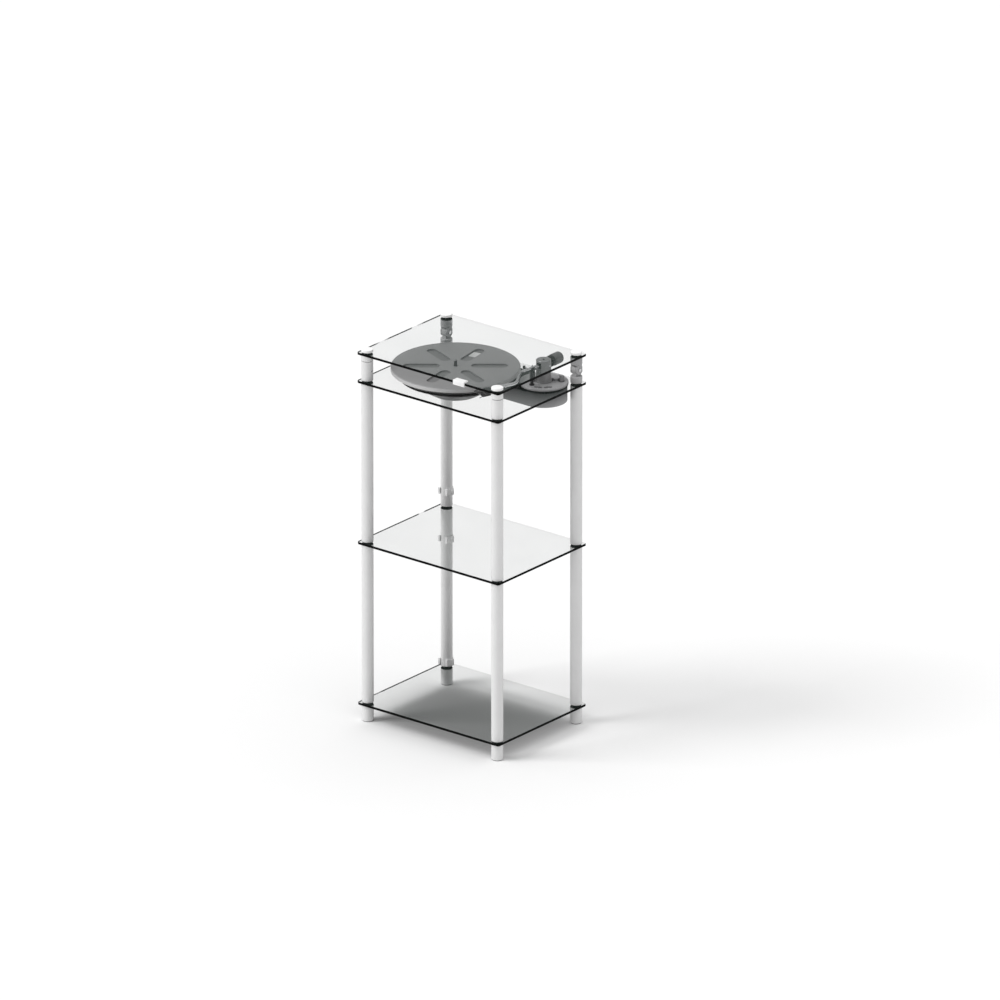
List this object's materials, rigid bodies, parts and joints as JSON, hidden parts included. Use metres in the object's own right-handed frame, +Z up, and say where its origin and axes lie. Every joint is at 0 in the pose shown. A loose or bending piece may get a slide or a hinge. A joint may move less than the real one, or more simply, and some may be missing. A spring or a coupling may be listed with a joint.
{
  "type": "record player stand",
  "caption": "Slim stand of clear glass shelves on round white tube posts, with a record player let into its top pane under a hinged glass lid.",
  "frame": {"origin": "on the floor, at the middle of the stand's outline seen from above", "axes": "+Z up, +X to the right along the long side, front at -Y"},
  "size_m": [0.42, 0.329, 0.9228],
  "materials": {
    "post_white": "satin white powder coat",
    "cap_white": "satin white moulded cap",
    "clip_white": "satin white moulding",
    "clear_glass": "clear float glass, ground and polished edges",
    "black_rubber": "matt black",
    "steel": "turned bright steel",
    "zinc_insert": "zinc plated",
    "brass": "turned bearing brass",
    "platter_grey": "fine blasted grey anodising",
    "chassis_grey": "satin dark grey casting",
    "cover_grey": "satin grey with a bright bevel",
    "arm_base_grey": "dark satin anodising",
    "arm_silver": "satin drawn tube",
    "arm_black": "fine matt black",
    "cartridge_black": "moulded black",
    "weight_grey": "satin dark grey",
    "knob_silver": "knurled satin knob",
    "button_grey": "fine matt",
    "motor_copper": "lacquered windings on steel",
    "board_green": "solder mask"
  },
  "bodies": {
    "root": {"foot_tubes": "post_white", "foot_glides": "black_rubber", "bottom_shelf": "clear_glass", "middle_shelf": "clear_glass", "deck_glass": "clear_glass", "lower_post_front_left": "post_white", "lower_post_front_right": "post_white", "lower_post_rear_left": "post_white", "lower_post_rear_right": "post_white", "upper_post_front_left": "post_white", "upper_post_front_right": "post_white", "upper_post_rear_left": "post_white", "upper_post_rear_right": "post_white", "front_post_tops": "post_white", "hinge_bases": "post_white", "hinge_pins": "steel", "post_studs": "steel", "tube_plugs": "zinc_insert", "post_washers": "black_rubber", "lid_pads": "black_rubber", "cable_clips": "clip_white", "chassis_bowl": "chassis_grey", "deck_gaskets": "black_rubber", "bearing_sleeve": "brass", "motor_stator": "motor_copper", "arm_housing": "chassis_grey", "arm_cover": "cover_grey", "cover_screws": "steel", "control_board": "board_green", "arm_pillar": "arm_base_grey", "arm_bush": "brass", "arm_rest": "arm_black", "lift_column": "arm_base_grey"},
    "lid": {"lid_glass": "clear_glass", "hinge_heads": "post_white", "lid_studs": "steel", "lid_washers": "black_rubber", "lid_caps": "cap_white", "lid_collars": "post_white", "lid_handle": "clip_white"},
    "platter": {"platter": "platter_grey", "spindle": "steel", "drive_rotor": "steel"},
    "arm_swing": {"arm_yoke": "arm_base_grey", "gimbal_pin": "steel"},
    "arm": {"gimbal_block": "arm_base_grey", "arm_tube": "arm_silver", "counterweight_stub": "arm_silver", "headshell": "arm_black", "cartridge": "cartridge_black", "stylus": "cartridge_black"},
    "headshell_nut": {"headshell_nut": "arm_silver"},
    "tracking_dial": {"tracking_dial": "arm_black"},
    "counterweight": {"counterweight": "weight_grey"},
    "cue_lever": {"cue_lever": "arm_black"},
    "lift_bar": {"lift_bar": "arm_silver"},
    "anti_skate_knob": {"anti_skate_knob": "knob_silver"},
    "speed_button_near": {"speed_button_near": "button_grey"},
    "speed_button_far": {"speed_button_far": "button_grey"},
    "power_button": {"power_button": "button_grey"}
  },
  "joints": [
    {"name": "lid_hinge", "type": "hinge", "parent": "root", "child": "lid", "pos_m": [0, 0.147, 0.878], "axis": [-1, 0, 0], "range_deg": [0, 92]},
    {"name": "platter_spin", "type": "hinge", "parent": "root", "child": "platter", "pos_m": [-0.048, 0.0015, 0.868], "axis": [0, 0, 1], "continuous": true},
    {"name": "arm_swing", "type": "hinge", "parent": "root", "child": "arm_swing", "pos_m": [0.138, 0.0945, 0.8935], "axis": [0, 0, -1], "range_deg": [0, 48]},
    {"name": "arm_lift", "type": "hinge", "parent": "arm_swing", "child": "arm", "pos_m": [0.138, 0.0945, 0.8935], "axis": [-0.998, 0.0637, 0], "range_deg": [0, 2.3]},
    {"name": "cue_lever_turn", "type": "hinge", "parent": "root", "child": "cue_lever", "pos_m": [0.11831, 0.07677, 0.877], "axis": [0, 0, -1], "range_deg": [0, 50.5]},
    {"name": "lift_bar_slide", "type": "slide", "parent": "root", "child": "lift_bar", "axis": [0, 0, 1], "range_m": [0, 0.0012]},
    {"name": "headshell_nut_turn", "type": "hinge", "parent": "arm", "child": "headshell_nut", "pos_m": [0.143, -0.0995, 0.8935], "axis": [-0.3511, -0.9363, 0], "range_deg": [0, 60]},
    {"name": "dial_turn", "type": "hinge", "parent": "arm", "child": "tracking_dial", "pos_m": [0.138, 0.0945, 0.8935], "axis": [0, 1, 0], "range_deg": [-180, 180]},
    {"name": "counterweight_turn", "type": "hinge", "parent": "arm", "child": "counterweight", "pos_m": [0.138, 0.0945, 0.8935], "axis": [0, 1, 0], "range_deg": [-180, 180]},
    {"name": "anti_skate_turn", "type": "hinge", "parent": "root", "child": "anti_skate_knob", "pos_m": [0.155, 0.1185, 0.86], "axis": [0, 0, -1], "range_deg": [0, 270]},
    {"name": "speed_near_press", "type": "slide", "parent": "root", "child": "speed_button_near", "axis": [0, 0, -1], "range_m": [0, 0.0012], "stiffness_N_per_m": 200, "springref_m": -0.001},
    {"name": "speed_far_press", "type": "slide", "parent": "root", "child": "speed_button_far", "axis": [0, 0, -1], "range_m": [0, 0.0012], "stiffness_N_per_m": 200, "springref_m": -0.001},
    {"name": "power_press", "type": "slide", "parent": "root", "child": "power_button", "axis": [0, 0, -1], "range_m": [0, 0.0015], "stiffness_N_per_m": 200, "springref_m": -0.001}
  ],
  "couplings": [
    {"joint": "cue_lever_turn", "follows": "arm_lift", "ratio": 21.7},
    {"joint": "lift_bar_slide", "follows": "arm_lift", "m_per_rad": 0.0265}
  ]
}
